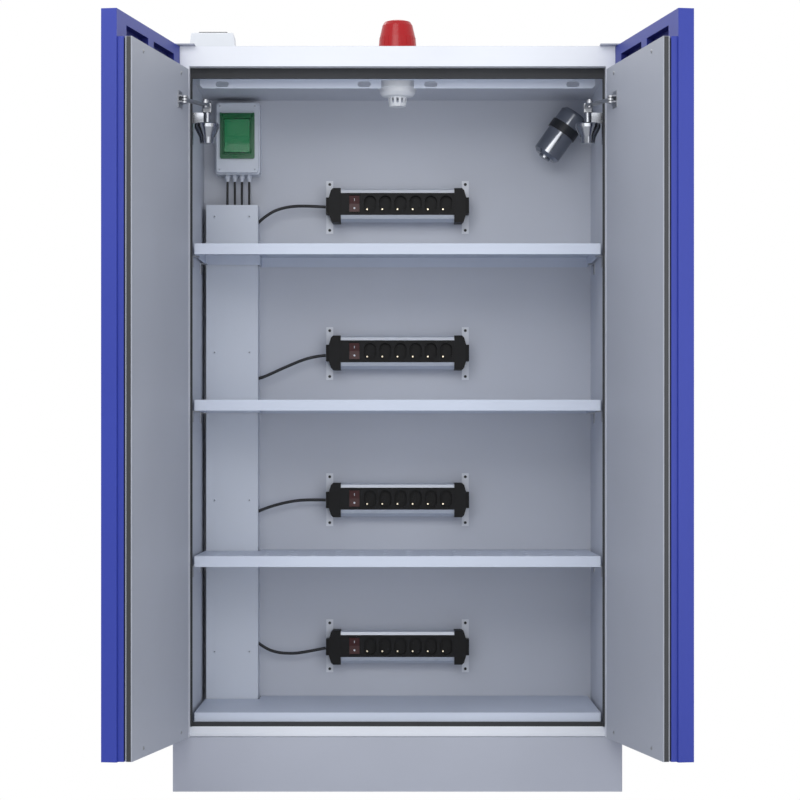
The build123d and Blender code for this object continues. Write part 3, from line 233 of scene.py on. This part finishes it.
    def dress_frame(self) -> None:
        """Give every carried-over CAD node the finish of its slot."""
        for entry in frame["record"]["subparts"]:
            node = frame["nodes"][entry["node"]]
            node.data.materials.clear()
            node.data.materials.append(self.material(entry["material_slot"]))
            LOG.info("dressed %s", entry["node"])


class Bench:
    """Makes pieces from meshes and puts them on their bodies.

    The form of a screw is given in shares of the radius of its head: the profile as pairs of
    radius and height, the arm of the cross recess as length, width and depth. The recess is
    no hollow but a near-black cross of painted shade on the head.
    """

    HEAD_PROFILE = ((1, 0), (1, 0.12), (0.86, 0.3), (0.5, 0.38))
    HEAD_SIDES = 20
    RECESS_ARM = (0.95, 0.2, 0.1)
    RECESS_LEVEL = 0.36
    EDGE_STEPS = 2

    def __init__(self, shop: Paintshop) -> None:
        """Keep the paintshop at hand."""
        self.shop = shop

    def piece(self, name: str, mesh: bmesh.types.BMesh, key: str, body: str) -> None:
        """Turn a finished mesh into a piece.

        Args:
            name: name of the piece.
            mesh: its mesh in the frame, which is used up.
            key: its finish, and its material slot where the record has it.
            body: body that carries it.
        """
        data = bpy.data.meshes.new(name)
        bmesh.ops.recalc_face_normals(mesh, faces=mesh.faces)
        mesh.to_mesh(data)
        mesh.free()
        data.materials.append(self.shop.material(key))
        made = bpy.data.objects.new(name, data)
        bpy.context.scene.collection.objects.link(made)
        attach(made, body)
        LOG.info("made %s", name)

    @staticmethod
    def turned(mesh: bmesh.types.BMesh, profile: Sequence[tuple[float, float]],
               place: Matrix, steps: int) -> None:
        """Add a closed turned form.

        Args:
            mesh: mesh to add to.
            profile: radius and height pairs from the foot to the tip.
            place: where the axis, local z, stands.
            steps: sides of the form.
        """
        rings = []
        for radius, height in profile:
            ring = []
            for i in range(steps):
                turn = 2 * pi * i / steps
                spot = Vector((radius * cos(turn), radius * sin(turn), height))
                ring.append(mesh.verts.new(place @ spot))
            rings.append(ring)
        for low, high in zip(rings, rings[1:]):
            for i in range(steps):
                j = (i + 1) % steps
                mesh.faces.new((low[i], low[j], high[j], high[i]))
        mesh.faces.new(rings[0][::-1])
        mesh.faces.new(rings[-1])

    @staticmethod
    def slab(mesh: bmesh.types.BMesh, size: Point, place: Matrix, edge: float = 0.0) -> None:
        """Add a box with softened edges.

        Args:
            mesh: mesh to add to.
            size: its three sides.
            place: its middle and turn.
            edge: width of the softened edges.
        """
        made = bmesh.ops.create_cube(mesh, size=1.0, matrix=place @ Matrix.Diagonal((*size, 1)))
        if edge:
            edges = {e for v in made["verts"] for e in v.link_edges}
            bmesh.ops.bevel(mesh, geom=list(edges), offset=edge, segments=Bench.EDGE_STEPS,
                            affect="EDGES")

    def screws(self, name: str, places: Iterable[Matrix], radius: float, key: str,
               body: str) -> None:
        """Pan-head screws with a cross recess of painted shade, facing local z.

        Args:
            name: name of the set.
            places: seat of each head.
            radius: head radius.
            key: finish.
            body: body that carries them.
        """
        heads, recess = bmesh.new(), bmesh.new()
        profile = [(radius * share, radius * height) for share, height in self.HEAD_PROFILE]
        length, width, depth = (radius * share for share in self.RECESS_ARM)
        for place in places:
            self.turned(heads, profile, place, self.HEAD_SIDES)
            # Each recess arm is a near-black box on the head: painted shade where the hollow would be.
            cross = place @ Matrix.Translation((0, 0, radius * self.RECESS_LEVEL))
            for size in ((length, width, depth), (width, length, depth)):
                self.slab(recess, size, cross)
        self.piece(name + "_heads", heads, key, body)
        self.piece(name + "_recess_shade", recess, "hole", body)


def facing_front(point: Point) -> Matrix:
    """Seat at a point whose local z faces the front."""
    return Matrix.Translation(point) @ Matrix.Rotation(radians(90), 4, "X")


@dataclass
class CableRun:
    """A held cable along a smooth curve, in place of its plain tube."""

    name: str
    node: str
    route: list[Point]
    diameter: float

    def build(self, shop: Paintshop) -> None:
        """Args:
            shop: paintshop with its finish.
        """
        data = bpy.data.curves.new(self.name, "CURVE")
        data.dimensions = "3D"
        data.bevel_depth = self.diameter / 2
        data.bevel_resolution = 4
        data.use_fill_caps = True
        spline = data.splines.new("NURBS")
        spline.points.add(len(self.route) - 1)
        for knot, place in zip(spline.points, self.route):
            knot.co = (*place, 1)
        spline.order_u = 3
        spline.use_endpoint_u = True
        spline.resolution_u = 12
        data.materials.append(shop.material("cable"))
        made = bpy.data.objects.new(self.name, data)
        bpy.context.scene.collection.objects.link(made)
        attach(made, "cabinet")
        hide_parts(self.node)
        LOG.info("made %s", self.name)


@dataclass
class Wiring:
    """The leads of the power strips and the cables under the isolator box.

    Attributes:
        lead_diameter: thickness of a lead.
        lead_start_gap: gap between the end of a strip and its lead.
        strip_drop: from the middle of a switch down to the middle of its strip.
        cables: number of cables under the box.
        cable_diameter: thickness of a cable.
        gland_size: width of a gland, from which the cables' pitch follows.
        start_gap: gap between a gland and its cable.
        cable_bow: how far a cable bows to the side and to the front.
        cable_middle: how far below its gland a cable bows most.
        tail: how far a cable reaches down into the duct.
        routes: points of each lead in millimetres from its start, to the side and up.
    """

    lead_diameter: float = 8.5 * MM
    lead_start_gap: float = 0.9 * MM
    strip_drop: float = 4.4 * MM
    cables: int = 4
    cable_diameter: float = 6.5 * MM
    gland_size: float = 16 * MM
    start_gap: float = 0.4 * MM
    cable_bow: float = 0.8 * MM
    cable_middle: float = 42 * MM
    tail: float = 14 * MM
    routes: list[list[tuple[float, float]]] = field(default_factory=lambda: [
        [(0, -3), (-50, 0), (-98, -1), (-139, -10), (-167, -26), (-193, -47), (-208, -64)],
        [(0, -7), (-30, -10), (-67, -20), (-121, -43), (-168, -65), (-193, -74), (-213, -77)],
        [(0, 0), (-55, 1), (-101, -4), (-153, -17), (-193, -32), (-213, -41)],
        [(0, -3), (-50, -13), (-99, -20), (-153, -14), (-193, 10), (-208, 24)],
    ])

    def build(self, shop: Paintshop) -> None:
        """Lay every lead and cable.

        Args:
            shop: paintshop with the sheath finish.
        """
        exit_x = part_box("strip_ends")[0].x - self.lead_start_gap
        for number, offsets in enumerate(self.routes, start=1):
            low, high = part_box(f"strip_lead_{number}")
            depth = (low.y + high.y) / 2
            low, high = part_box(f"strip_switch_{number}")
            middle = (low.z + high.z) / 2 - self.strip_drop
            route = [(exit_x + dx * MM, depth, middle + dz * MM) for dx, dz in offsets]
            lead = CableRun(f"lead_{number}", f"strip_lead_{number}", route, self.lead_diameter)
            lead.build(shop)
        low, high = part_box("box_glands")
        pitch = (high.x - low.x - self.gland_size) / (self.cables - 1)
        depth = (low.y + high.y) / 2
        duct_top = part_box("duct_channel")[1].z
        for number in range(self.cables):
            x = low.x + self.gland_size / 2 + number * pitch
            bow = self.cable_bow if number % 2 else -self.cable_bow
            route = [(x, depth, low.z - self.start_gap),
                     (x + bow, depth - self.cable_bow, low.z - self.cable_middle),
                     (x, depth, duct_top - self.tail)]
            cable = CableRun(f"supply_cable_{number + 1}", "supply_cables", route,
                             self.cable_diameter)
            cable.build(shop)


@dataclass
class StripDetails:
    """Contact holes in the socket wells, drawn as near-black discs of painted shade, bracket screws
    and switch marks of the power strips.

    Attributes:
        strips: number of strips.
        wells: number of socket wells in a strip.
        pitch: distance between wells.
        first: side position of the first well.
        well_drop: from the middle of a switch down to the middle of the wells.
        well_depth: depth of a well.
        contact_radius: radius of a contact hole.
        contact_offset: side and height offset of a contact hole from the middle of its well.
        contact_profile: a contact hole's share of the radius, and its height, at each ring.
        bracket_drop: from the middle of the wells down to the middle of a bracket.
        screw_offset: side and height offset of a bracket screw from the bracket's middle.
        screw_radius: radius of its head.
        bar_size: size of the bar on a switch.
        bar_edge: softened edge of the bar.
        bar_place: depth and height of the bar from the switch's front and the wells' middle.
        dot_profile: radius and height of the dot on a switch, at each ring.
        dot_place: depth and height of the dot from the switch's front and the wells' middle.
    """

    strips: int = 4
    wells: int = 6
    pitch: float = 43.3 * MM
    first: float = -78.2 * MM
    well_drop: float = 1.4 * MM
    well_depth: float = 15 * MM
    contact_radius: float = 2.6 * MM
    contact_offset: float = 8.5 * MM
    contact_profile: Profile = ((1, 0), (1, 0.4 * MM), (0.6, 0.5 * MM))
    contact_sides: int = 14
    bracket_drop: float = 3 * MM
    screw_offset: tuple[float, float] = (195 * MM, 66 * MM)
    screw_radius: float = 4.2 * MM
    bar_size: Point = (1.4 * MM, 0.4 * MM, 7 * MM)
    bar_edge: float = 0.1 * MM
    bar_place: tuple[float, float] = (0.6 * MM, 13 * MM)
    dot_profile: Profile = ((2.8 * MM, 0), (2.8 * MM, 0.3 * MM), (2.2 * MM, 0.35 * MM))
    dot_place: tuple[float, float] = (0.9 * MM, -11 * MM)
    dot_sides: int = 20

    def build(self, bench: Bench) -> None:
        """Make the details of all strips.

        Args:
            bench: where pieces are made.
        """
        holes = bmesh.new()
        screws: list[Matrix] = []
        for number in range(1, self.strips + 1):
            low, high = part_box(f"strip_switch_{number}")
            level = (low.z + high.z) / 2 - self.well_drop
            self._contacts(bench, holes, level)
            screws += self._bracket_seats(level - self.bracket_drop)
            mark = bmesh.new()
            middle = (low.x + high.x) / 2
            depth, rise = self.bar_place
            bar = Matrix.Translation((middle, low.y + depth, level + rise))
            bench.slab(mark, self.bar_size, bar, self.bar_edge)
            depth, rise = self.dot_place
            dot = facing_front((middle, low.y + depth, level + rise))
            bench.turned(mark, self.dot_profile, dot, self.dot_sides)
            bench.piece(f"strip_mark_{number}", mark, "white_plastic", f"strip_switch_{number}")
        # The contact holes get the near-black hole finish: painted shade of their depth, not hollows.
        bench.piece("contact_hole_shade", holes, "hole", "cabinet")
        bench.screws("bracket_screws", screws, self.screw_radius, "black_steel", "cabinet")

    def _contacts(self, bench: Bench, holes: bmesh.types.BMesh, level: float) -> None:
        """Add both contact holes of each well of one strip, as near-black discs of painted shade.

        Args:
            bench: where forms are made.
            holes: mesh to add to.
            level: height of the middle of the wells.
        """
        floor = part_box("strip_faces")[0].y + self.well_depth
        profile = [(self.contact_radius * share, height) for share, height in self.contact_profile]
        for k in range(self.wells):
            x = self.first + k * self.pitch
            for side in (-1, 1):
                offset = side * self.contact_offset
                seat = facing_front((x + offset, floor, level - offset))
                bench.turned(holes, profile, seat, self.contact_sides)

    def _bracket_seats(self, middle: float) -> list[Matrix]:
        """Seats of the four screws in the brackets of one strip.

        Args:
            middle: height of the middle of the brackets.

        Returns:
            The seats.
        """
        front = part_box("strip_brackets")[0].y
        reach, rise = self.screw_offset
        return [facing_front((x, front, middle + dz)) for x in (-reach, reach)
                for dz in (-rise, rise)]


@dataclass
class DuctDetails:
    """Cover screws of the cable duct and lid screws of the isolator box.

    Attributes:
        cover_levels: heights of the cover screws.
        cover_inset: how far in from the cover's sides they stand.
        cover_radius: radius of their heads.
        lid_inset: how far in from the lid's edges its screws stand.
        lid_radius: radius of their heads.
    """

    cover_levels: tuple[float, ...] = (1576 * MM, 1190 * MM, 770 * MM, 340 * MM)
    cover_inset: float = 24 * MM
    cover_radius: float = 5 * MM
    lid_inset: float = 9 * MM
    lid_radius: float = 4 * MM

    def build(self, bench: Bench) -> None:
        """Make the screws.

        Args:
            bench: where pieces are made.
        """
        low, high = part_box("duct_cover")
        sides = (low.x + self.cover_inset, high.x - self.cover_inset)
        seats = [facing_front((x, low.y, z)) for z in self.cover_levels for x in sides]
        bench.screws("duct_screws", seats, self.cover_radius, "duct_plastic", "cabinet")
        low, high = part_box("box_lid")
        corners = [facing_front((x, low.y, z))
                   for x in (low.x + self.lid_inset, high.x - self.lid_inset)
                   for z in (low.z + self.lid_inset, high.z - self.lid_inset)]
        bench.screws("lid_screws", corners, self.lid_radius, "duct_plastic", "cabinet")


@dataclass
class DoorDetails:
    """Edge strip and panel screws on each door, which rests open past square.

    Places on a door are measured from its hinge line, along the door and in towards its inner
    face, and heights from the floor.

    Attributes:
        lean: angle past square at which a door rests.
        strip_thickness: thickness of the edge strip.
        strip_width: its width, across the door's edge.
        strip_play: how much shorter than the panel it is.
        strip_edge: its softened edge.
        strip_place: its place, along and in.
        screw_radius: head radius of the panel screws.
        screw_places: their places along the door.
        screw_depth: their place in.
        screw_levels: their heights.
    """

    lean: float = radians(10)
    strip_thickness: float = 1.4 * MM
    strip_width: float = 11 * MM
    strip_play: float = 2 * MM
    strip_edge: float = 0.3 * MM
    strip_place: tuple[float, float] = (581.3 * MM, 36 * MM)
    screw_radius: float = 5 * MM
    screw_places: tuple[float, ...] = (113 * MM, 477 * MM)
    screw_depth: float = 44 * MM
    screw_levels: tuple[float, ...] = (1898 * MM, 172 * MM)

    def build(self, bench: Bench) -> None:
        """Dress both doors.

        Args:
            bench: where pieces are made.
        """
        for name, side in (("left_door", -1), ("right_door", 1)):
            joint = next(j for j in frame["joints"] if j["child"] == name)
            pivot = Vector(joint["pos_m"])
            along = Vector((side * sin(self.lean), -cos(self.lean), 0))
            inward = Vector((-side * cos(self.lean), -sin(self.lean), 0))
            low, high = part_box(f"{name}_panel")
            turn = Matrix((along, inward, along.cross(inward))).transposed().to_4x4()

            def seat(reach: float, depth: float, height: float) -> Matrix:
                """Place in the door's own directions."""
                spot = pivot + along * reach + inward * depth
                return Matrix.Translation((spot.x, spot.y, height)) @ turn

            strip = bmesh.new()
            size = (self.strip_thickness, self.strip_width, high.z - low.z - self.strip_play)
            place = seat(*self.strip_place, (low.z + high.z) / 2)
            bench.slab(strip, size, place, self.strip_edge)
            bench.piece(f"{name}_edge_strip", strip, "black_steel", name)
            face_up = Matrix.Rotation(radians(-90), 4, "X")
            seats = [seat(reach, self.screw_depth, height) @ face_up
                     for reach in self.screw_places for height in self.screw_levels]
            bench.screws(f"{name}_screws", seats, self.screw_radius, "steel", name)


@dataclass
class RoofDetails:
    """Window strip on the alarm box and ribs on the beacon lens.

    Attributes:
        window_width: width of the window strip.
        window_height: its thickness, half of it sunk in the box.
        window_margin: how much shorter than the box it is.
        window_shift: how far right of the box's middle it sits.
        window_edge: its softened edge.
        ribs: number of ribs.
        rib_size: size of a rib, out, across and up.
        rib_edge: its softened edge.
        rib_inset: how far in from the widest radius of the lens its middle is.
        rib_rise: height of its middle over the foot of the lens.
        rib_lean: its lean inwards, with the lens.
    """

    window_width: float = 78 * MM
    window_height: float = 5 * MM
    window_margin: float = 24 * MM
    window_shift: float = 2 * MM
    window_edge: float = 0.6 * MM
    ribs: int = 24
    rib_size: Point = (2.4 * MM, 2.2 * MM, 36 * MM)
    rib_edge: float = 0.5 * MM
    rib_inset: float = 2.4 * MM
    rib_rise: float = 22 * MM
    rib_lean: float = radians(-4.4)

    def build(self, bench: Bench) -> None:
        """Make the roof details.

        Args:
            bench: where pieces are made.
        """
        low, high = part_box("alarm_box")
        window = bmesh.new()
        size = (self.window_width, high.y - low.y - self.window_margin, self.window_height)
        middle = ((low.x + high.x) / 2 + self.window_shift, (low.y + high.y) / 2, high.z)
        bench.slab(window, size, Matrix.Translation(middle), self.window_edge)
        bench.piece("alarm_window", window, "dark_plastic", "cabinet")
        low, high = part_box("beacon_dome")
        centre, radius = (low + high) / 2, (high.x - low.x) / 2
        foot = Matrix.Translation((centre.x, centre.y, low.z + self.rib_rise))
        out = Matrix.Translation((radius - self.rib_inset, 0, 0))
        ribs = bmesh.new()
        for i in range(self.ribs):
            angle = 2 * pi * i / self.ribs
            place = (foot @ Matrix.Rotation(angle, 4, "Z") @ out
                     @ Matrix.Rotation(self.rib_lean, 4, "Y"))
            bench.slab(ribs, self.rib_size, place, self.rib_edge)
        bench.piece("beacon_ribs", ribs, "red_lens", "cabinet")


@dataclass
class Studio:
    """Pale floor, soft lights, white surround and the camera.

    Attributes:
        distance: from the camera to the front of the casing.
        eye_height: height of the camera.
        lens: focal length in millimetres.
        shift: shift of the lens, sideways and up.
        lamps: name, place, side length and power of each light.
        aim: point that the lights face.
        sky: colour of the world's light.
        sky_strength: its strength.
        floor_reach: how far the floor goes from the middle.
        floor_drop: how far it lies below the cabinet's foot.
        floor_color: its colour, except to the camera.
        floor_roughness: its roughness.
    """

    distance: float = 6.8
    eye_height: float = 0.898
    lens: float = 114.66
    shift: tuple[float, float] = (0.0031, 0.069)
    lamps: tuple[tuple[str, Point, float, float], ...] = (
        ("key", (-1.2, -4.2, 3.6), 3.0, 82),
        ("fill", (1.6, -4.6, 1.5), 3.2, 48),
        ("rear", (-0.5, 2.0, 4.4), 2.5, 60),
    )
    aim: Point = (0, 0, 1.0)
    sky: Point = (0.93, 0.96, 1.0)
    sky_strength: float = 0.62
    floor_reach: float = 40
    floor_drop: float = 0.5 * MM
    floor_color: Point = (0.9, 0.9, 0.91)
    floor_roughness: float = 0.8

    def build(self) -> None:
        """Set up everything that isn't part of the cabinet."""
        scene = bpy.context.scene
        scene.view_settings.view_transform = "Standard"
        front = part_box("outer_casing")[0].y
        camera = bpy.data.objects.new("camera", bpy.data.cameras.new("camera"))
        camera.data.lens = self.lens
        camera.data.shift_x, camera.data.shift_y = self.shift
        camera.location = (0, front - self.distance, self.eye_height)
        camera.rotation_euler = (radians(90), 0, 0)
        scene.collection.objects.link(camera)
        scene.camera = camera
        self._surround(scene)
        for lamp in self.lamps:
            self._light(*lamp)
        self._floor()

    def _light(self, name: str, place: Point, size: float, power: float) -> None:
        """Soft square light aimed at the middle of the cabinet."""
        data = bpy.data.lights.new(name, "AREA")
        data.size = size
        data.energy = power
        lamp = bpy.data.objects.new(name, data)
        lamp.location = place
        gaze = Vector(self.aim) - Vector(place)
        lamp.rotation_euler = gaze.to_track_quat("-Z", "Y").to_euler()
        bpy.context.scene.collection.objects.link(lamp)

    def _surround(self, scene: bpy.types.Scene) -> None:
        """White world for the camera, mirrors and glass, and a softer one for light."""
        world = bpy.data.worlds.new("surround")
        scene.world = world
        world.use_nodes = True
        nodes, links = world.node_tree.nodes, world.node_tree.links
        sky = nodes["Background"]
        sky.inputs["Color"].default_value = (*self.sky, 1)
        sky.inputs["Strength"].default_value = self.sky_strength
        white = nodes.new("ShaderNodeBackground")
        white.inputs["Color"].default_value = (1, 1, 1, 1)
        path = nodes.new("ShaderNodeLightPath")
        seen = nodes.new("ShaderNodeMath")
        seen.operation = "ADD"
        seen.use_clamp = True
        links.new(path.outputs["Is Camera Ray"], seen.inputs[0])
        sharp = nodes.new("ShaderNodeMath")
        sharp.operation = "ADD"
        links.new(path.outputs["Is Transmission Ray"], sharp.inputs[0])
        links.new(path.outputs["Is Glossy Ray"], sharp.inputs[1])
        links.new(sharp.outputs[0], seen.inputs[1])
        mix = nodes.new("ShaderNodeMixShader")
        links.new(seen.outputs[0], mix.inputs[0])
        links.new(sky.outputs[0], mix.inputs[1])
        links.new(white.outputs[0], mix.inputs[2])
        links.new(mix.outputs[0], nodes["World Output"].inputs["Surface"])

    def _floor(self) -> None:
        """Wide pale floor, pure white to the camera."""
        mesh = bmesh.new()
        bmesh.ops.create_grid(mesh, x_segments=1, y_segments=1, size=self.floor_reach)
        data = bpy.data.meshes.new("floor")
        mesh.to_mesh(data)
        mesh.free()
        floor = bpy.data.objects.new("floor", data)
        floor.location.z = -self.floor_drop
        bpy.context.scene.collection.objects.link(floor)
        paint = bpy.data.materials.new("floor_paint")
        paint.use_nodes = True
        nodes, links = paint.node_tree.nodes, paint.node_tree.links
        shader = nodes["Principled BSDF"]
        shader.inputs["Base Color"].default_value = (*self.floor_color, 1)
        shader.inputs["Roughness"].default_value = self.floor_roughness
        white = nodes.new("ShaderNodeEmission")
        path = nodes.new("ShaderNodeLightPath")
        mix = nodes.new("ShaderNodeMixShader")
        links.new(path.outputs["Is Camera Ray"], mix.inputs[0])
        links.new(shader.outputs[0], mix.inputs[1])
        links.new(white.outputs[0], mix.inputs[2])
        links.new(mix.outputs[0], nodes["Material Output"].inputs["Surface"])
        data.materials.append(paint)


def main() -> None:
    """Build the studio, the cables and every detail, in order."""
    logging.basicConfig(level=logging.INFO)
    Studio().build()
    shop = Paintshop()
    shop.dress_frame()
    Wiring().build(shop)
    bench = Bench(shop)
    for details in (StripDetails(), DuctDetails(), DoorDetails(), RoofDetails()):
        details.build(bench)


if __name__ == "__main__":
    main()
